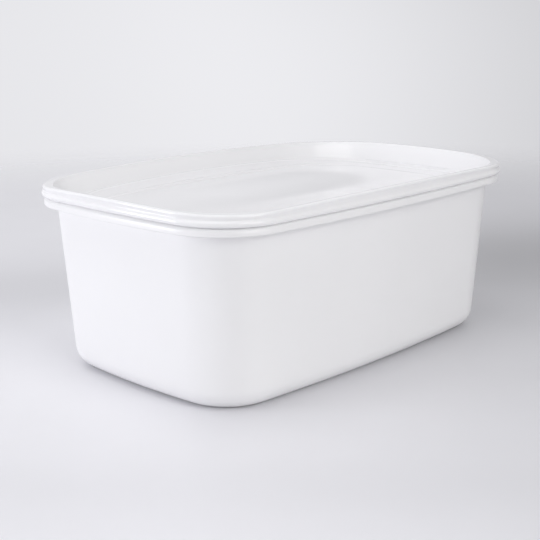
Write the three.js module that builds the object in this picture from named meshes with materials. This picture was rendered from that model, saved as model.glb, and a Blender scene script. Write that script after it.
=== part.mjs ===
// A shut rectangular freezer container of white plastic: a deep tub with a rounded collar,
// and a press-on lid whose panel lies sunk inside a raised rim.
// Millimetres. X runs along the length, Y across the width, Z up, and the base stands on z = 0.
import * as THREE from "three";

// Plan of the body at the top of its wall, where every offset below is counted from.
// Its sides and ends bow outwards, so each is one wide arc, and four corner arcs join them.
const HALF_LENGTH = 134.4;
const HALF_WIDTH = 86.1;
const SIDE_BOW = 7.4;
const END_BOW = 7.4;

// Corner radii of that plan for each stretch of the height.
const BASE_CORNER = 40.8;
const WALL_CORNER = 35.9;
const COLLAR_CORNER = 34.8;
const BEAD_CORNER = 35.3;
const CROWN_CORNER = 36.4;
const INNER_CORNER = 46.5;
const PANEL_CORNER = 60;

// Tub: leaning walls on a round foot, and a collar that is rounder above than below.
const WALL_HEIGHT = 100;
const WALL_DRAFT = 5.5;
const FOOT_RADIUS = 12.6;
const COLLAR_OUT = 7.4;
const COLLAR_TOP = 104.4;
const COLLAR_EDGE_ROUND = 0.7;
const COLLAR_ROUND = 3;

// Outside of the lid: a full bead over the seam, a soft groove and a smaller crown roll.
const SEAM_GAP = 0.3;
const BEAD_OUT = 8.75;
const BEAD_ROUND = 1.95;
const BEAD_END = THREE.MathUtils.degToRad(36);
const GROOVE_OUT = 7.72;
const GROOVE_HEIGHT = 108.25;
const CROWN_OUT = 8.15;
const CROWN_HEIGHT = 111;
const CROWN_ROUND = 1.25;
const CROWN_START = THREE.MathUtils.degToRad(-30);

// Inside of the lid: the crown's inner edge, a sloping wall with a tight foot, a border round the
// panel, a faint step, and a panel that sags into a shallow gutter along its middle.
const INNER_OUT = 5.6;
const INNER_ROUND = 0.7;
const INNER_END = THREE.MathUtils.degToRad(165);
const WALL_TOP_OUT = 3.4;
const WALL_TOP_HEIGHT = 108.6;
const RIM_FOOT_OUT = -3.2;
const RIM_FOOT_HEIGHT = 100.7;
const BORDER_OUT = -5.6;
const BORDER_HEIGHT = 99.7;
const STEP_OUT = -17;
const STEP_WIDTH = 1.6;
const STEP_HEIGHT = 98.9;
const STEP_DROP = 0.2;
const PANEL_SAG = 1.2;
const GUTTER_DEPTH = 1.8;
const GUTTER_WIDTH = 130;
const PANEL_UNDERSIDE = 94;
const PANEL_THICKNESS = 1.6;
const UNDER_GAP = 0.8;

// The rim rises in the middle of each side, and the panel's long edges rise with it and more.
const LEVEL = { side: 0, end: 0 };
const SEAM_LIFT = { side: 0.5, end: 1 };
const RIM_LIFT = { side: 2.1, end: 2.1 };
const FOOT_LIFT = { side: 4.3, end: -1.1 };
const STEP_LIFT = { side: 1.6, end: -0.3 };

// Steps of each arc of a quarter of the plan, of the wall, the round edges and the panel.
const END_STEPS = 4;
const CORNER_STEPS = 9;
const SIDE_STEPS = 5;
const FOOT_STEPS = 7;
const WALL_STEPS = 4;
const EDGE_STEPS = 3;
const COLLAR_STEPS = 5;
const BEAD_STEPS = 7;
const CROWN_STEPS = 6;
const PANEL_STEPS = 8;

const SIDE_RADIUS = HALF_LENGTH ** 2 / (2 * SIDE_BOW);
const END_RADIUS = HALF_WIDTH ** 2 / (2 * END_BOW);
const LID_BOTTOM = COLLAR_TOP + SEAM_GAP;
const INNER_RISE = WALL_TOP_HEIGHT - RIM_FOOT_HEIGHT;
const INNER_RUN = (WALL_TOP_OUT - RIM_FOOT_OUT) / INNER_RISE;

// The first quarter of the plan, pushed outwards by an offset, with a chosen corner radius.
// The corner's centre is where two circles cross, as its arc touches both wide arcs.
function quarter(offset, corner) {
  const end = new THREE.Vector2(HALF_LENGTH - END_RADIUS, 0);
  const side = new THREE.Vector2(0, HALF_WIDTH - SIDE_RADIUS);
  const toEnd = END_RADIUS - corner;
  const toSide = SIDE_RADIUS - corner;
  const between = end.distanceTo(side);
  const along = (between ** 2 + toSide ** 2 - toEnd ** 2) / (2 * between);
  const across = Math.sqrt(toSide ** 2 - along ** 2);
  const step = end.clone().sub(side).normalize();
  const outward = new THREE.Vector2(step.y, -step.x);
  const centre = side.clone().addScaledVector(step, along).addScaledVector(outward, across);
  const endTurn = centre.clone().sub(end).angle();
  const sideTurn = centre.clone().sub(side).angle();
  const arcs = [
    [end, END_RADIUS, 0, endTurn, END_STEPS],
    [centre, corner, endTurn, sideTurn, CORNER_STEPS],
    [side, SIDE_RADIUS, sideTurn, Math.PI / 2, SIDE_STEPS],
  ];
  return arcs.flatMap(([middle, radius, from, to, steps]) => {
    const reach = radius + offset;
    const arc = new THREE.EllipseCurve(middle.x, middle.y, reach, reach, from, to);
    return arc.getPoints(steps).slice(0, steps);
  });
}

// One closed ring of the surface. It may be shrunk towards the middle by scale, and it is lifted
// most in the middle of its sides and of its ends, and not at its corners. A gutter along X is
// deepest in the middle and runs out at full scale.
function ring({ offset, z, corner, scale = 1, lift = LEVEL, gutter = 0 }) {
  const first = quarter(offset, corner);
  const top = new THREE.Vector2(0, HALF_WIDTH + offset);
  const second = [top, ...first.slice(1).reverse()].map((p) => new THREE.Vector2(-p.x, p.y));
  const half = [...first, ...second];
  const whole = [...half, ...half.map((p) => new THREE.Vector2(-p.x, -p.y))];
  return whole.map((p) => {
    const alongSide = Math.max(0, 1 - (p.x / HALF_LENGTH) ** 2) * (p.y / HALF_WIDTH) ** 2;
    const alongEnd = Math.max(0, 1 - (p.y / HALF_WIDTH) ** 2) * (p.x / HALF_LENGTH) ** 2;
    const rise = (lift.side * alongSide + lift.end * alongEnd) * scale ** 2;
    const dip = gutter * (1 - scale ** 2) * Math.cos((2 * Math.PI * p.y * scale) / GUTTER_WIDTH);
    return new THREE.Vector3(p.x * scale, p.y * scale, z + rise - dip);
  });
}

// Skins a stack of rings, closed by a fan at its first and last ring.
function loft(rows) {
  const rings = rows.map(ring);
  const count = rings[0].length;
  const positions = rings.flat().flatMap((p) => [p.x, p.y, p.z]);
  const faces = [];
  for (let r = 0; r + 1 < rings.length; r += 1) {
    for (let i = 0; i < count; i += 1) {
      const next = (i + 1) % count;
      const low = r * count;
      const high = low + count;
      faces.push(low + i, low + next, high + next);
      faces.push(low + i, high + next, high + i);
    }
  }
  const bottom = positions.length / 3;
  const top = bottom + 1;
  const lastRow = rows[rows.length - 1];
  positions.push(0, 0, rows[0].z, 0, 0, lastRow.middle ?? lastRow.z);
  const last = (rings.length - 1) * count;
  for (let i = 0; i < count; i += 1) {
    const next = (i + 1) % count;
    faces.push(bottom, next, i);
    faces.push(top, last + i, last + next);
  }
  const geometry = new THREE.BufferGeometry();
  geometry.setAttribute("position", new THREE.Float32BufferAttribute(positions, 3));
  geometry.setIndex(faces);
  geometry.computeVertexNormals();
  return geometry;
}

// Points of a round edge as rows: from one angle to another about a centre in the profile.
function roundEdge({ offset, z, radius, from, to, steps, corner, lift }) {
  const turn = new THREE.EllipseCurve(offset, z, radius, radius, from, to, to < from);
  return turn.getPoints(steps).map((p) => ({ offset: p.x, z: p.y, corner, lift }));
}

// Rows through a few profile points, with corner and lift going evenly from first to last.
function blendRows(points, corners, lifts) {
  const mix = THREE.MathUtils.lerp;
  return points.map(([offset, z], i) => {
    const share = i / (points.length - 1);
    const side = mix(lifts[0].side, lifts[1].side, share);
    const end = mix(lifts[0].end, lifts[1].end, share);
    return { offset, z, corner: mix(corners[0], corners[1], share), lift: { side, end } };
  });
}

// A point under the rim's sloping inner wall, at a height and a distance square to the wall.
function beneathRim(z, distance, lift) {
  const level = distance * Math.hypot(1, INNER_RUN);
  const climb = THREE.MathUtils.clamp((z - RIM_FOOT_HEIGHT) / INNER_RISE, 0, 1);
  const corner = THREE.MathUtils.lerp(PANEL_CORNER, INNER_CORNER, climb);
  return { offset: RIM_FOOT_OUT + (z - RIM_FOOT_HEIGHT) * INNER_RUN + level, z, corner, lift };
}

// The tub, solid to its rim because nothing shows inside the shut pack.
function tubProfile() {
  const lean = Math.atan(WALL_DRAFT / WALL_HEIGHT);
  const footTop = FOOT_RADIUS * (1 - Math.sin(lean));
  const footTopOut = -WALL_DRAFT * (1 - footTop / WALL_HEIGHT);
  const foot = {
    offset: footTopOut - FOOT_RADIUS * Math.cos(lean),
    z: FOOT_RADIUS,
    radius: FOOT_RADIUS,
    from: -Math.PI / 2,
    to: -lean,
    steps: FOOT_STEPS,
    corner: BASE_CORNER,
  };
  const wall = Array.from({ length: WALL_STEPS }, (_, i) => {
    const share = (i + 1) / WALL_STEPS;
    return {
      offset: footTopOut * (1 - share),
      z: THREE.MathUtils.lerp(footTop, WALL_HEIGHT, share),
      corner: THREE.MathUtils.lerp(BASE_CORNER, WALL_CORNER, share),
    };
  });
  const collarEdge = {
    offset: COLLAR_OUT - COLLAR_EDGE_ROUND,
    z: WALL_HEIGHT + COLLAR_EDGE_ROUND,
    radius: COLLAR_EDGE_ROUND,
    from: -Math.PI / 2,
    to: 0,
    steps: EDGE_STEPS,
    corner: COLLAR_CORNER,
  };
  const collarTop = {
    offset: COLLAR_OUT - COLLAR_ROUND,
    z: COLLAR_TOP - COLLAR_ROUND,
    radius: COLLAR_ROUND,
    from: 0,
    to: Math.PI / 2,
    steps: COLLAR_STEPS,
    corner: COLLAR_CORNER,
    lift: SEAM_LIFT,
  };
  const hollow = PANEL_THICKNESS + UNDER_GAP;
  return [
    ...roundEdge(foot),
    ...wall,
    ...roundEdge(collarEdge),
    ...roundEdge(collarTop),
    beneathRim(COLLAR_TOP, hollow, SEAM_LIFT),
    beneathRim(PANEL_UNDERSIDE - UNDER_GAP, hollow, LEVEL),
  ];
}

// Outside of the lid from its lower edge over the bead, the groove and the crown.
function rimRows() {
  const bead = {
    offset: BEAD_OUT - BEAD_ROUND,
    z: LID_BOTTOM + BEAD_ROUND,
    radius: BEAD_ROUND,
    from: -Math.PI / 2,
    to: BEAD_END,
    steps: BEAD_STEPS,
    corner: BEAD_CORNER,
    lift: SEAM_LIFT,
  };
  const groove = [
    [BEAD_OUT - 0.6, GROOVE_HEIGHT - 0.35],
    [GROOVE_OUT, GROOVE_HEIGHT],
    [CROWN_OUT - 0.29, GROOVE_HEIGHT + 0.4],
  ];
  const crown = {
    offset: CROWN_OUT - CROWN_ROUND,
    z: CROWN_HEIGHT - CROWN_ROUND,
    radius: CROWN_ROUND,
    from: CROWN_START,
    to: Math.PI / 2,
    steps: CROWN_STEPS,
    corner: CROWN_CORNER,
    lift: RIM_LIFT,
  };
  const inner = {
    offset: INNER_OUT,
    z: CROWN_HEIGHT - INNER_ROUND,
    radius: INNER_ROUND,
    from: Math.PI / 2,
    to: INNER_END,
    steps: EDGE_STEPS,
    corner: INNER_CORNER,
    lift: RIM_LIFT,
  };
  return [
    ...roundEdge(bead),
    ...blendRows(groove, [BEAD_CORNER, CROWN_CORNER], [SEAM_LIFT, RIM_LIFT]),
    ...roundEdge(crown),
    ...roundEdge(inner),
  ];
}

// Inside of the lid from the rim down to the middle of the panel.
function panelRows() {
  const bottom = STEP_HEIGHT - STEP_DROP;
  const wall = [
    [WALL_TOP_OUT, WALL_TOP_HEIGHT],
    [RIM_FOOT_OUT + 0.9, RIM_FOOT_HEIGHT + 0.7],
    [RIM_FOOT_OUT + 0.3, RIM_FOOT_HEIGHT - 0.2],
    [RIM_FOOT_OUT - 0.2, RIM_FOOT_HEIGHT - 0.7],
    [RIM_FOOT_OUT - 0.8, RIM_FOOT_HEIGHT - 0.9],
  ];
  const border = [
    [BORDER_OUT, BORDER_HEIGHT],
    [STEP_OUT, STEP_HEIGHT],
    [STEP_OUT - STEP_WIDTH, bottom],
  ];
  const panel = Array.from({ length: PANEL_STEPS - 1 }, (_, i) => {
    const scale = 1 - (i + 1) / PANEL_STEPS;
    return {
      offset: STEP_OUT - STEP_WIDTH,
      z: bottom - PANEL_SAG * (1 - scale ** 2),
      corner: PANEL_CORNER,
      scale,
      lift: STEP_LIFT,
      gutter: GUTTER_DEPTH,
      middle: bottom - PANEL_SAG - GUTTER_DEPTH,
    };
  });
  return [
    ...blendRows(wall, [INNER_CORNER, PANEL_CORNER], [RIM_LIFT, FOOT_LIFT]),
    ...blendRows(border, [PANEL_CORNER, PANEL_CORNER], [FOOT_LIFT, STEP_LIFT]),
    ...panel,
  ];
}

// The lid: its underside runs parallel to the rim's inner wall and to the panel.
function lidProfile() {
  return [
    beneathRim(PANEL_UNDERSIDE, PANEL_THICKNESS, LEVEL),
    beneathRim(LID_BOTTOM, PANEL_THICKNESS, SEAM_LIFT),
    ...rimRows(),
    ...panelRows(),
  ];
}

function part(name, geometry, colour, roughness) {
  const material = new THREE.MeshStandardMaterial({ color: colour, roughness, metalness: 0 });
  const mesh = new THREE.Mesh(geometry, material);
  mesh.name = name;
  return mesh;
}

const container = new THREE.Group();
container.add(part("tub", loft(tubProfile()), 0xf2f1f4, 0.3));
container.add(part("lid", loft(lidProfile()), 0xefeef3, 0.28));

export default container;
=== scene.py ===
"""A shut freezer container of glossy white plastic on a pale studio floor.

The tub and the lid are skinned stacks of rings. Each ring is the same bowed rectangle with round
corners, pushed out by an offset, so a row of the surface is given by its offset, height, corner
radius and lift. Lengths are in metres and angles in degrees.
"""

import bpy
import numpy as np
from mathutils import Matrix, Vector


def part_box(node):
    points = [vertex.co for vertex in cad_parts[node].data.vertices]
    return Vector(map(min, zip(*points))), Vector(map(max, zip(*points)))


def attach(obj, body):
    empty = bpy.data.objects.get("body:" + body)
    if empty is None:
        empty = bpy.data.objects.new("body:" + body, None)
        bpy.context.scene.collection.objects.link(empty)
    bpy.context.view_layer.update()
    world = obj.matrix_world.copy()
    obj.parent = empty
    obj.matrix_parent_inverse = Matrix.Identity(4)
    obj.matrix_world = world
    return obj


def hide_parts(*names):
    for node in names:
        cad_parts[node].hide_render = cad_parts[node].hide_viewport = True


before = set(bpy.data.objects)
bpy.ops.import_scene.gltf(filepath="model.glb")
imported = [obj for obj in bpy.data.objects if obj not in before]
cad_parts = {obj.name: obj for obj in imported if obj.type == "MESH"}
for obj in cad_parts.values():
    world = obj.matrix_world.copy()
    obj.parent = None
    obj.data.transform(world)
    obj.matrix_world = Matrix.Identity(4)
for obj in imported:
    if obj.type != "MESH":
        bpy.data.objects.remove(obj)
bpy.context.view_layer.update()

MM = 0.001

# Plan of the body at the top of its wall. Its size comes from the frame's tub.
COLLAR_OUT = 7.4 * MM
HALF_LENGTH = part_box("tub")[1].x - COLLAR_OUT
HALF_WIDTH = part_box("tub")[1].y - COLLAR_OUT
SIDE_BOW = 7.4 * MM
END_BOW = 7.4 * MM
SIDE_RADIUS = HALF_LENGTH ** 2 / (2 * SIDE_BOW)
END_RADIUS = HALF_WIDTH ** 2 / (2 * END_BOW)

# Corner radii of that plan for each stretch of the height.
BASE_CORNER = 40.8 * MM
WALL_CORNER = 35.9 * MM
COLLAR_CORNER = 34.8 * MM
BEAD_CORNER = 35.3 * MM
CROWN_CORNER = 36.4 * MM
INNER_CORNER = 46.5 * MM
PANEL_CORNER = 60 * MM

# Tub: a base recessed inside a foot ring, leaning walls on a round foot, and a collar that is
# rounder above than below. The ring's inner edge has three rows, each with a share of the recess.
WALL_HEIGHT = 100 * MM
WALL_DRAFT = 5.5 * MM
FOOT_RADIUS = 12.6 * MM
FOOT_RING_IN = 10 * MM
BASE_RECESS = 0.7 * MM
RING_EDGE_OUT = np.array([0.6, 1.4, 2.0]) * MM
RING_EDGE_SHARE = np.array([0.9, 0.3, 0])
COLLAR_FILLET = 0.5 * MM
COLLAR_EDGE_ROUND = 0.7 * MM
COLLAR_ROUND = 3 * MM
COLLAR_TOP = 104.45 * MM

# Outside of the lid: a full bead over the seam, a soft groove and a smaller crown roll.
LID_BOTTOM = 104.6 * MM
LID_BOTTOM_OUT = 0.6 * MM
BEAD_OUT = 8.75 * MM
BEAD_ROUND = 1.95 * MM
BEAD_END = 36
GROOVE_OUT = 7.72 * MM
GROOVE_HEIGHT = 108.25 * MM
CROWN_OUT = 8.15 * MM
CROWN_HEIGHT = 111 * MM
CROWN_ROUND = 1.25 * MM
CROWN_START = -30

# Inside of the lid: the crown's inner edge, a sloping wall with a tight foot, a border round the
# panel, a faint step, and a panel that sags into a shallow gutter along its middle.
INNER_OUT = 5.6 * MM
INNER_ROUND = 0.7 * MM
INNER_END = 165
WALL_TOP_OUT = 3.4 * MM
WALL_TOP_HEIGHT = 108.6 * MM
RIM_FOOT_OUT = -3.2 * MM
RIM_FOOT_HEIGHT = 100.7 * MM
BORDER_OUT = -5.6 * MM
BORDER_HEIGHT = 99.7 * MM
STEP_OUT = -17 * MM
STEP_WIDTH = 1.6 * MM
STEP_HEIGHT = 98.9 * MM
STEP_DROP = 0.2 * MM
PANEL_SAG = 1.2 * MM
GUTTER_DEPTH = 1.8 * MM
GUTTER_WIDTH = 130 * MM

# Heights below the panel's edge: its middle, the lid's flat underside and the tub's closed mouth.
PANEL_THICKNESS = 1.6 * MM
UNDER_GAP = 0.8 * MM
PANEL_EDGE = STEP_HEIGHT - STEP_DROP
PANEL_MIDDLE = PANEL_EDGE - PANEL_SAG - GUTTER_DEPTH
LID_UNDERSIDE = PANEL_MIDDLE - PANEL_THICKNESS
TUB_MOUTH = LID_UNDERSIDE - UNDER_GAP

# Points of the lid's smooth stretches, as pairs of how far out and how high they lie.
GROOVE = (
    (BEAD_OUT - 0.6 * MM, GROOVE_HEIGHT - 0.35 * MM),
    (GROOVE_OUT, GROOVE_HEIGHT),
    (CROWN_OUT - 0.29 * MM, GROOVE_HEIGHT + 0.4 * MM),
)
RIM_WALL = (
    (WALL_TOP_OUT, WALL_TOP_HEIGHT),
    (RIM_FOOT_OUT + 0.9 * MM, RIM_FOOT_HEIGHT + 0.7 * MM),
    (RIM_FOOT_OUT + 0.3 * MM, RIM_FOOT_HEIGHT - 0.2 * MM),
    (RIM_FOOT_OUT - 0.2 * MM, RIM_FOOT_HEIGHT - 0.7 * MM),
    (RIM_FOOT_OUT - 0.8 * MM, RIM_FOOT_HEIGHT - 0.9 * MM),
)
BORDER = (
    (RIM_FOOT_OUT - 1.4 * MM, RIM_FOOT_HEIGHT - 0.93 * MM),
    (BORDER_OUT - 0.8 * MM, BORDER_HEIGHT - 0.05 * MM),
    (STEP_OUT + 1 * MM, STEP_HEIGHT + 0.08 * MM),
    (STEP_OUT, STEP_HEIGHT),
    (STEP_OUT - STEP_WIDTH * 0.7, STEP_HEIGHT - STEP_DROP * 0.8),
    (STEP_OUT - STEP_WIDTH, PANEL_EDGE),
)

# Lifts in the middle of a long side and of an end.
LEVEL = (0.0, 0.0)
SEAM_LIFT = (0.5 * MM, 1 * MM)
RIM_LIFT = (2.1 * MM, 2.1 * MM)
FOOT_LIFT = (4.3 * MM, -1.1 * MM)
STEP_LIFT = (1.6 * MM, -0.3 * MM)

# Points along each arc of a quarter of the plan.
END_STEPS = 22
CORNER_STEPS = 56
SIDE_STEPS = 30

# Rows along each stretch of the two profiles, and the scale of the smallest ring of the base and
# of the panel.
BASE_STEPS = 14
FOOT_STEPS = 24
WALL_STEPS = 40
FILLET_STEPS = 7
COLLAR_EDGE_STEPS = 9
COLLAR_STEPS = 19
BEAD_STEPS = 22
GROOVE_STEPS = 4
CROWN_STEPS = 16
INNER_STEPS = 8
RIM_WALL_STEPS = 9
BORDER_STEPS = 7
PANEL_STEPS = 60
BASE_INNERMOST = 0.1
PANEL_INNERMOST = 0.04

# Plastic: its colours and roughness, a faint cloudiness, the share by which its gloss varies
# either way, and a fine grain.
TUB_COLOUR = (0.9, 0.896, 0.905)
TUB_ROUGHNESS = 0.31
LID_COLOUR = (0.9, 0.896, 0.908)
LID_ROUGHNESS = 0.12
PLASTIC_IOR = 1.49
CLOUD_SCALE = 14
CLOUD_DETAIL = 4
CLOUD_RANGE = (0.2, 0.8)
CLOUD_TONES = (1.0, 0.98)
GLOSS_SPREAD = 1 / 15
GRAIN_SCALE = 60
GRAIN_DETAIL = 1
GRAIN_STRENGTH = 0.3
GRAIN_HEIGHT = 0.05 * MM

# Directions in the room: away from the camera, to the right of its view, and up.
VIEW_DEPTH = (0.733, 0.680, 0)
VIEW_RIGHT = (VIEW_DEPTH[1], -VIEW_DEPTH[0], 0)
UP = (0, 0, 1)

# Floor: painted shade that darkens its colour from left to right and painted light that brightens
# it from near to far, its mottle, and its fading out with the distance from the container. A pair
# of values goes with a pair of places in metres: the value goes smoothly from its first to its
# second between them.
FLOOR_SIZE = 4
FLOOR_TINT = (1, 0.995, 1.03)
FLOOR_ROUGHNESS = 0.3
PAINTED_SHADE_ACROSS = (-0.06, 0.2)
PAINTED_SHADE_VALUES = (0.82, 0.66)
PAINTED_LIGHT_DEPTH = (0.12, 0.4)
PAINTED_LIGHT_VALUES = (1.0, 1.07)
MOTTLE_SCALE = 22
MOTTLE_DETAIL = 5
MOTTLE_LOW = 0.98
MOTTLE_SPREAD = 0.04
FADE_DISTANCE = (0.5, 1.05)
FADE_VALUES = (0, 1)

# Painted shade on the floor: a soft dark band behind the container, which leans away and widens
# to the right, and a faint one in front of it.
BAND_MIDDLE = 0.18
BAND_LEAN = 0.25
BAND_ACROSS = (-0.2, 0.2)
BAND_WIDTHS = (0.075, 0.15)
SHADE_BAND_VALUES = (0.11, 0.4)
FRONT_BAND_MIDDLE = -0.22
FRONT_BAND_WIDTH = 0.03
FRONT_SHADE_BAND_VALUE = 0.04

# World's light: its level, its slope along X, Y and Z, its share at the edges of the view, the
# glow that is added in the middle of the view, and a dim gap above the view that is deeper on
# the right.
WORLD_TINT = (1, 1, 1.035)
WORLD_LEVEL = 0.5
WORLD_SLOPE = (0, 0.44, 0.13)
WORLD_EDGE = 0.9
GLOW_VALUE = 0.165
GLOW_MIDDLE = 0.02
GLOW_WIDTH = 0.22
GAP_HEIGHT = 0.21
GAP_WIDTH = 0.14
GAP_ACROSS = (-0.12, 0.04)
GAP_VALUES = (0.15, 0.4)

# Soft boxes: each one's name, azimuth, elevation, size, power in watts and colour.
LAMP_DISTANCE = 1.4
LAMPS = (
    ("key_box", 147, 6, 0.5, 7.8, (0.975, 0.985, 1.02)),
    ("front_box", 262, 18, 0.8, 6.6, (1, 1, 0.99)),
    ("high_front_box", 262, 38, 0.8, 3.1, (1, 1, 0.99)),
    ("top_box", 180, 80, 0.8, 3.5, (1, 1, 1)),
)

# Camera: where it stands round the middle of the wall, how it is turned there, and its lens.
CAMERA_TARGET = Vector((0, 0, 50 * MM))
CAMERA_AZIMUTH = -47.13
CAMERA_ELEVATION = 13.9
CAMERA_DISTANCE = 680.7 * MM
CAMERA_PAN = 0.775
CAMERA_TILT = 0.27
CAMERA_ROLL = -0.46
CAMERA_LENS = 70.02


def outline(offset, corner):
    """Closed plan outlines, one row for each offset and corner radius.

    A quarter is three arcs that touch: the end's wide arc about (half length - end radius, 0),
    the corner's arc, and the side's wide arc about (0, half width - side radius). The corner's
    centre lies where circles of (end radius - corner) and (side radius - corner) about the two
    wide centres cross. The offset is added to all three radii, and the quarter is mirrored.
    """
    offset, corner = np.broadcast_arrays(np.atleast_1d(offset), np.atleast_1d(corner))
    offset, corner = offset[:, None], corner[:, None]
    end_x, side_y = HALF_LENGTH - END_RADIUS, HALF_WIDTH - SIDE_RADIUS
    to_end, to_side = END_RADIUS - corner, SIDE_RADIUS - corner
    between = np.hypot(end_x, side_y)
    ahead = (between ** 2 + to_side ** 2 - to_end ** 2) / (2 * between)
    aside = np.sqrt(to_side ** 2 - ahead ** 2)
    step_x, step_y = end_x / between, -side_y / between
    centre_x = step_x * ahead + step_y * aside
    centre_y = side_y + step_y * ahead - step_x * aside
    end_turn = np.arctan2(centre_y, centre_x - end_x)
    side_turn = np.arctan2(centre_y - side_y, centre_x)

    def arc(x, y, radius, start, stop, steps):
        """(x + r cos t, y + r sin t) with r = radius + offset and t from start to stop."""
        turn = start + (stop - start) * np.linspace(0, 1, steps, endpoint=False)
        reach = radius + offset
        return x + reach * np.cos(turn), y + reach * np.sin(turn)

    arcs = [
        arc(end_x, 0, END_RADIUS, 0 * end_turn, end_turn, END_STEPS),
        arc(centre_x, centre_y, corner, end_turn, side_turn, CORNER_STEPS),
        arc(0, side_y, SIDE_RADIUS, side_turn, np.pi / 2, SIDE_STEPS),
    ]
    x = np.hstack([a[0] for a in arcs])
    y = np.hstack([a[1] for a in arcs])
    top = np.broadcast_to(HALF_WIDTH + offset, (len(x), 1))
    x = np.hstack([x, 0 * top, -x[:, :0:-1]])
    y = np.hstack([y, top, y[:, :0:-1]])
    return np.hstack([x, -x]), np.hstack([y, -y])


def rows(offset, height, corner, lift=LEVEL, scale=1.0):
    """A block of profile rows: offset, height, corner radius, side lift, end lift and scale."""
    count = max(np.size(value) for value in (offset, height, corner, scale, lift[0], lift[1]))
    values = (offset, height, corner, lift[0], lift[1], scale)
    return np.column_stack([np.broadcast_to(value, count) for value in values])


def round_edge(offset, height, radius, start, stop, steps, corner, lift=LEVEL):
    """Rows along an arc of the profile, from one angle to another.

    At angle t a row lies at (offset + radius cos t, height + radius sin t).
    """
    turn = np.radians(np.linspace(start, stop, steps))
    return rows(offset + radius * np.cos(turn), height + radius * np.sin(turn), corner, lift)


def smooth(points, steps, corner, lift):
    """Rows along a smooth curve through a few (offset, height) points, by a Catmull-Rom spline.

    Between two points p1 and p2 with neighbours p0 and p3 the curve is
    p1 + t (p2 - p0)/2 + t^2 (2 p0 - 5 p1 + 4 p2 - p3)/2 + t^3 (3 p1 - p0 - 3 p2 + p3)/2.
    Corner radius and lift go straight from their first value to their last.
    """
    points = np.asarray(points, float)
    padded = np.vstack([2 * points[0] - points[1], points, 2 * points[-1] - points[-2]])
    t = np.linspace(0, 1, steps, endpoint=False)[:, None]
    runs = []
    for p0, p1, p2, p3 in zip(padded, padded[1:], padded[2:], padded[3:]):
        runs.append(p1 + t * (p2 - p0) / 2 + t ** 2 * (2 * p0 - 5 * p1 + 4 * p2 - p3) / 2
                    + t ** 3 * (3 * p1 - p0 - 3 * p2 + p3) / 2)
    curve = np.vstack(runs + [points[-1:]])
    share = np.linspace(0, 1, len(curve))
    blend = [a + (b - a) * share for a, b in (corner, *zip(*lift))]
    return rows(curve[:, 0], curve[:, 1], blend[0], (blend[1], blend[2]))


def skin(name, profile, middle_low, middle_high, gutter=0.0):
    """A closed mesh through the rings of a profile, with a fan at each end.

    A ring's point is (x s, y s, z + s^2 (side lift (1 - (x/L)^2) (y/W)^2
    + end lift (1 - (y/W)^2) (x/L)^2) - (1 - s^2) gutter cos(2 pi y s / gutter width))
    for scale s, half length L and half width W.
    """
    offset, height, corner, side, end, scale = (profile[:, [i]] for i in range(6))
    x, y = outline(offset[:, 0], corner[:, 0])
    u, v = (x / HALF_LENGTH) ** 2, (y / HALF_WIDTH) ** 2
    rise = side * np.maximum(0, 1 - u) * v + end * np.maximum(0, 1 - v) * u
    dip = gutter * np.cos(2 * np.pi * y * scale / GUTTER_WIDTH)
    z = height + scale ** 2 * rise - (1 - scale ** 2) * dip
    points = np.stack([x * scale, y * scale, z], axis=2)
    ring_count, around = x.shape
    points = np.vstack([points.reshape(-1, 3), (0, 0, middle_low), (0, 0, middle_high)])
    index = np.arange(ring_count * around).reshape(ring_count, around)
    after = np.roll(index, -1, axis=1)
    quads = np.stack([index[:-1], after[:-1], after[1:], index[1:]], axis=2).reshape(-1, 4)
    low, high = ring_count * around, ring_count * around + 1
    fans = np.vstack([
        np.column_stack([np.full(around, low), after[0], index[0]]),
        np.column_stack([np.full(around, high), index[-1], after[-1]]),
    ])
    mesh = bpy.data.meshes.new(name)
    mesh.vertices.add(len(points))
    mesh.vertices.foreach_set("co", points.ravel())
    mesh.loops.add(quads.size + fans.size)
    mesh.loops.foreach_set("vertex_index", np.concatenate([quads.ravel(), fans.ravel()]))
    mesh.polygons.add(len(quads) + len(fans))
    starts = np.concatenate([
        np.arange(len(quads)) * 4,
        quads.size + np.arange(len(fans)) * 3,
    ])
    mesh.polygons.foreach_set("loop_start", starts)
    mesh.polygons.foreach_set("use_smooth", np.ones(len(starts), bool))
    mesh.update(calc_edges=True)
    mesh.validate()
    piece = bpy.data.objects.new(name, mesh)
    bpy.context.scene.collection.objects.link(piece)
    return piece


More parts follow.
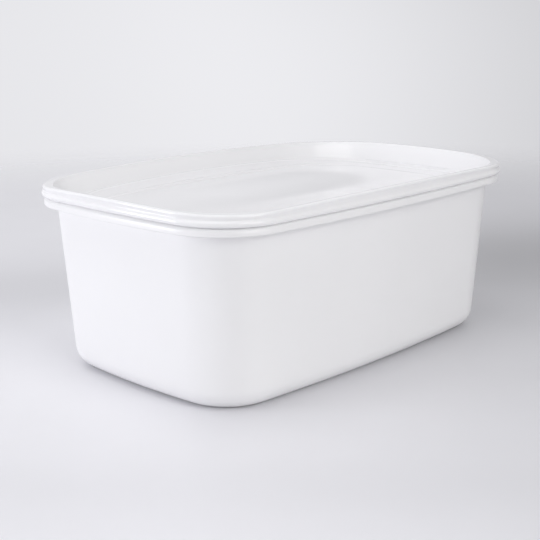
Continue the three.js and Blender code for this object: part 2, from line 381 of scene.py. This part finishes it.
def tub_profile():
    """The tub from the middle of its base up over its collar and down into its mouth.

    The wall leans out by its draft over its height, and the foot's arc touches both the floor
    and the wall, so the arc ends at radius (1 - sin lean) above the floor.
    """
    lean = np.arctan(WALL_DRAFT / WALL_HEIGHT)
    foot_top = FOOT_RADIUS * (1 - np.sin(lean))
    wall_low = -WALL_DRAFT * (1 - foot_top / WALL_HEIGHT)
    foot_out = wall_low - FOOT_RADIUS * np.cos(lean)
    ring_in = foot_out - FOOT_RING_IN
    share = np.linspace(0, 1, WALL_STEPS)[1:-1]
    wall_top = WALL_HEIGHT - COLLAR_FILLET
    return np.vstack([
        rows(ring_in, BASE_RECESS, BASE_CORNER, scale=np.linspace(BASE_INNERMOST, 1, BASE_STEPS)),
        rows(ring_in + RING_EDGE_OUT, BASE_RECESS * RING_EDGE_SHARE, BASE_CORNER),
        round_edge(foot_out, FOOT_RADIUS, FOOT_RADIUS, -90, -np.degrees(lean), FOOT_STEPS,
                   BASE_CORNER),
        rows(wall_low * (1 - share), foot_top + (wall_top - foot_top) * share,
             BASE_CORNER + (WALL_CORNER - BASE_CORNER) * share),
        round_edge(COLLAR_FILLET, wall_top, COLLAR_FILLET, 180, 90, FILLET_STEPS, WALL_CORNER),
        round_edge(COLLAR_OUT - COLLAR_EDGE_ROUND, WALL_HEIGHT + COLLAR_EDGE_ROUND,
                   COLLAR_EDGE_ROUND, -90, 0, COLLAR_EDGE_STEPS, COLLAR_CORNER),
        round_edge(COLLAR_OUT - COLLAR_ROUND, COLLAR_TOP - COLLAR_ROUND, COLLAR_ROUND, 0, 90,
                   COLLAR_STEPS, COLLAR_CORNER, SEAM_LIFT),
        rows(0.0, COLLAR_TOP, INNER_CORNER, SEAM_LIFT),
        rows(BORDER_OUT, TUB_MOUTH, PANEL_CORNER),
    ])


def lid_profile():
    """The lid from its underside out over the bead and the crown and down to its panel.

    The panel sags by sag (1 - s^2) at scale s of its edge.
    """
    scale = np.linspace(1, PANEL_INNERMOST, PANEL_STEPS)[1:]
    return np.vstack([
        rows(BORDER_OUT + PANEL_THICKNESS, LID_UNDERSIDE, PANEL_CORNER),
        rows(LID_BOTTOM_OUT, LID_BOTTOM, INNER_CORNER, SEAM_LIFT),
        round_edge(BEAD_OUT - BEAD_ROUND, LID_BOTTOM + BEAD_ROUND, BEAD_ROUND, -90, BEAD_END,
                   BEAD_STEPS, BEAD_CORNER, SEAM_LIFT),
        smooth(GROOVE, GROOVE_STEPS, (BEAD_CORNER, CROWN_CORNER), (SEAM_LIFT, RIM_LIFT)),
        round_edge(CROWN_OUT - CROWN_ROUND, CROWN_HEIGHT - CROWN_ROUND, CROWN_ROUND, CROWN_START,
                   90, CROWN_STEPS, CROWN_CORNER, RIM_LIFT),
        round_edge(INNER_OUT, CROWN_HEIGHT - INNER_ROUND, INNER_ROUND, 90, INNER_END,
                   INNER_STEPS, INNER_CORNER, RIM_LIFT),
        smooth(RIM_WALL, RIM_WALL_STEPS, (INNER_CORNER, PANEL_CORNER), (RIM_LIFT, FOOT_LIFT)),
        smooth(BORDER, BORDER_STEPS, (PANEL_CORNER, PANEL_CORNER), (FOOT_LIFT, STEP_LIFT)),
        rows(STEP_OUT - STEP_WIDTH, PANEL_EDGE - PANEL_SAG * (1 - scale ** 2), PANEL_CORNER,
             STEP_LIFT, scale),
    ])


def maths(tree, operation, *values):
    """The result of one Math node; each value is a number or another node's output."""
    node = tree.nodes.new("ShaderNodeMath")
    node.operation = operation
    for socket, value in zip(node.inputs, values):
        if isinstance(value, bpy.types.NodeSocket):
            tree.links.new(value, socket)
        else:
            socket.default_value = value
    return node.outputs["Value"]


def bell(tree, value, middle, width):
    """exp(-((value - middle) / width)^2)"""
    away = maths(tree, "DIVIDE", maths(tree, "SUBTRACT", value, middle), width)
    square = maths(tree, "MULTIPLY", away, away)
    return maths(tree, "EXPONENT", maths(tree, "MULTIPLY", square, -1.0))


def darkened(tree, value, darkness):
    """value (1 - darkness)"""
    return maths(tree, "MULTIPLY", value, maths(tree, "SUBTRACT", 1.0, darkness))


def along(tree, place, direction):
    """How far a place reaches along a direction: their dot product."""
    node = tree.nodes.new("ShaderNodeVectorMath")
    node.operation = "DOT_PRODUCT"
    tree.links.new(place, node.inputs[0])
    node.inputs[1].default_value = direction
    return node.outputs["Value"]


def remap(tree, value, source, target):
    """A smooth ramp from a source pair to a target pair: t^2 (3 - 2 t) of the way for share t."""
    node = tree.nodes.new("ShaderNodeMapRange")
    node.interpolation_type = "SMOOTHSTEP"
    for name, number in zip(("From Min", "From Max", "To Min", "To Max"), (*source, *target)):
        node.inputs[name].default_value = number
    tree.links.new(value, node.inputs["Value"])
    return node.outputs["Result"]


def noise(tree, place, scale, detail):
    """A cloudy value between 0 and 1."""
    node = tree.nodes.new("ShaderNodeTexNoise")
    node.inputs["Scale"].default_value = scale
    node.inputs["Detail"].default_value = detail
    tree.links.new(place, node.inputs["Vector"])
    return node.outputs["Fac"]


def tinted(tree, colour, value):
    """A colour times a value."""
    node = tree.nodes.new("ShaderNodeVectorMath")
    node.operation = "SCALE"
    node.inputs[0].default_value = colour
    tree.links.new(value, node.inputs["Scale"])
    return node.outputs["Vector"]


def blank_material(name):
    """A new material, its node tree, its shader and its object coordinates."""
    material = bpy.data.materials.new(name)
    material.use_nodes = True
    tree = material.node_tree
    place = tree.nodes.new("ShaderNodeTexCoord").outputs["Object"]
    return material, tree, tree.nodes["Principled BSDF"], place


def plastic(name, colour, roughness):
    """Glossy white plastic: a faint cloudiness in its colour, uneven gloss and a fine grain."""
    material, tree, shader, place = blank_material(name)
    cloud = noise(tree, place, CLOUD_SCALE, CLOUD_DETAIL)
    tone = remap(tree, cloud, CLOUD_RANGE, CLOUD_TONES)
    gloss = (roughness * (1 - GLOSS_SPREAD), roughness * (1 + GLOSS_SPREAD))
    tree.links.new(tinted(tree, colour, tone), shader.inputs["Base Color"])
    tree.links.new(remap(tree, cloud, CLOUD_RANGE, gloss), shader.inputs["Roughness"])
    bump = tree.nodes.new("ShaderNodeBump")
    bump.inputs["Strength"].default_value = GRAIN_STRENGTH
    bump.inputs["Distance"].default_value = GRAIN_HEIGHT
    tree.links.new(noise(tree, place, GRAIN_SCALE, GRAIN_DETAIL), bump.inputs["Height"])
    tree.links.new(bump.outputs["Normal"], shader.inputs["Normal"])
    shader.inputs["IOR"].default_value = PLASTIC_IOR
    return material


def studio_floor():
    """A pale paper floor that fades into the backdrop's light.

    Painted shade darkens its colour from left to right as the camera sees it, painted light
    brightens it a little with depth, and painted shade darkens it further in the bell of the band
    behind the container and in that of the one in front.
    """
    bpy.ops.mesh.primitive_plane_add(size=FLOOR_SIZE)
    floor = bpy.context.object
    floor.name = "studio_floor"
    material, tree, shader, place = blank_material("floor_paper")
    depth = along(tree, place, VIEW_DEPTH)
    across = along(tree, place, VIEW_RIGHT)
    # Painted shade: the bell of a soft dark band behind the container and of a faint one in
    # front.
    middle = maths(tree, "MULTIPLY_ADD", across, BAND_LEAN, BAND_MIDDLE)
    width = remap(tree, across, BAND_ACROSS, BAND_WIDTHS)
    band = maths(tree, "MULTIPLY", bell(tree, depth, middle, width),
                 remap(tree, across, BAND_ACROSS, SHADE_BAND_VALUES))
    front_band = maths(tree, "MULTIPLY", bell(tree, depth, FRONT_BAND_MIDDLE, FRONT_BAND_WIDTH),
                       FRONT_SHADE_BAND_VALUE)
    mottle = maths(tree, "MULTIPLY_ADD", noise(tree, place, MOTTLE_SCALE, MOTTLE_DETAIL),
                   MOTTLE_SPREAD, MOTTLE_LOW)
    # Painted shade darkens the floor's colour from left to right, and painted light brightens it
    # with depth.
    tone = maths(tree, "MULTIPLY", remap(tree, across, PAINTED_SHADE_ACROSS, PAINTED_SHADE_VALUES),
                 remap(tree, depth, PAINTED_LIGHT_DEPTH, PAINTED_LIGHT_VALUES))
    tone = darkened(tree, darkened(tree, tone, band), front_band)
    tone = maths(tree, "MULTIPLY", tone, mottle)
    tree.links.new(tinted(tree, FLOOR_TINT, tone), shader.inputs["Base Color"])
    shader.inputs["Roughness"].default_value = FLOOR_ROUGHNESS
    reach = tree.nodes.new("ShaderNodeVectorMath")
    reach.operation = "LENGTH"
    tree.links.new(place, reach.inputs[0])
    fade = remap(tree, reach.outputs["Value"], FADE_DISTANCE, FADE_VALUES)
    clear = tree.nodes.new("ShaderNodeBsdfTransparent")
    blend = tree.nodes.new("ShaderNodeMixShader")
    tree.links.new(fade, blend.inputs["Fac"])
    tree.links.new(shader.outputs["BSDF"], blend.inputs[1])
    tree.links.new(clear.outputs["BSDF"], blend.inputs[2])
    tree.links.new(blend.outputs["Shader"], tree.nodes["Material Output"].inputs["Surface"])
    floor.data.materials.append(material)
    return floor


def studio_world():
    """Soft light from all round, brighter behind, with a glow in the view and a dim gap above.

    Its strength is (level + slope . direction) (edge + glow bell) (1 - gap bell x gap value).
    """
    world = bpy.data.worlds.new("studio")
    bpy.context.scene.world = world
    world.use_nodes = True
    tree = world.node_tree
    place = tree.nodes.new("ShaderNodeTexCoord").outputs["Generated"]
    level = maths(tree, "ADD", along(tree, place, WORLD_SLOPE), WORLD_LEVEL)
    across = along(tree, place, VIEW_RIGHT)
    glow = maths(tree, "MULTIPLY_ADD", bell(tree, across, GLOW_MIDDLE, GLOW_WIDTH), GLOW_VALUE,
                 WORLD_EDGE)
    gap = maths(tree, "MULTIPLY", bell(tree, along(tree, place, UP), GAP_HEIGHT, GAP_WIDTH),
                remap(tree, across, GAP_ACROSS, GAP_VALUES))
    back = tree.nodes["Background"]
    back.inputs["Color"].default_value = (*WORLD_TINT, 1)
    tree.links.new(darkened(tree, maths(tree, "MULTIPLY", level, glow), gap),
                   back.inputs["Strength"])
    return world


def soft_light(name, azimuth, elevation, size, power, colour):
    """A square soft box at LAMP_DISTANCE from the container, that faces it.

    It stands towards (cos a cos e, sin a cos e, sin e) for azimuth a and elevation e.
    """
    data = bpy.data.lights.new(name, "AREA")
    data.size = size
    data.energy = power
    data.color = colour
    lamp = bpy.data.objects.new(name, data)
    bpy.context.scene.collection.objects.link(lamp)
    turn, rise = np.radians((azimuth, elevation))
    away = Vector((np.cos(turn) * np.cos(rise), np.sin(turn) * np.cos(rise), np.sin(rise)))
    lamp.location = CAMERA_TARGET + away * LAMP_DISTANCE
    lamp.rotation_euler = away.to_track_quat("Z", "Y").to_euler()
    return lamp


def photo_camera():
    """A camera on a sphere round the target, then panned, tilted and rolled by small angles."""
    def backward(azimuth, elevation):
        """(sin a cos e, -cos a cos e, sin e) for azimuth a and elevation e."""
        a, e = np.radians((azimuth, elevation))
        return Vector((np.sin(a) * np.cos(e), -np.cos(a) * np.cos(e), np.sin(e)))

    data = bpy.data.cameras.new("photo_camera")
    data.lens = CAMERA_LENS
    camera = bpy.data.objects.new("photo_camera", data)
    bpy.context.scene.collection.objects.link(camera)
    place = CAMERA_TARGET + backward(CAMERA_AZIMUTH, CAMERA_ELEVATION) * CAMERA_DISTANCE
    z = backward(CAMERA_AZIMUTH + CAMERA_PAN, CAMERA_ELEVATION + CAMERA_TILT)
    x = Vector(UP).cross(z).normalized()
    roll = Matrix.Rotation(np.radians(CAMERA_ROLL), 3, "Z")
    turn = Matrix((x, z.cross(x), z)).transposed() @ roll
    camera.matrix_world = Matrix.Translation(place) @ turn.to_4x4()
    bpy.context.scene.camera = camera
    return camera


tub = skin("tub_shell", tub_profile(), BASE_RECESS, TUB_MOUTH)
lid = skin("lid_shell", lid_profile(), LID_UNDERSIDE, PANEL_MIDDLE, GUTTER_DEPTH)
tub.data.materials.append(plastic("tub_plastic", TUB_COLOUR, TUB_ROUGHNESS))
lid.data.materials.append(plastic("lid_plastic", LID_COLOUR, LID_ROUGHNESS))
for piece, node in ((tub, "tub"), (lid, "lid")):
    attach(piece, "root")
    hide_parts(node)

studio_floor()
photo_camera()
studio_world()
for lamp in LAMPS:
    soft_light(*lamp)
bpy.context.scene.view_settings.view_transform = "Standard"
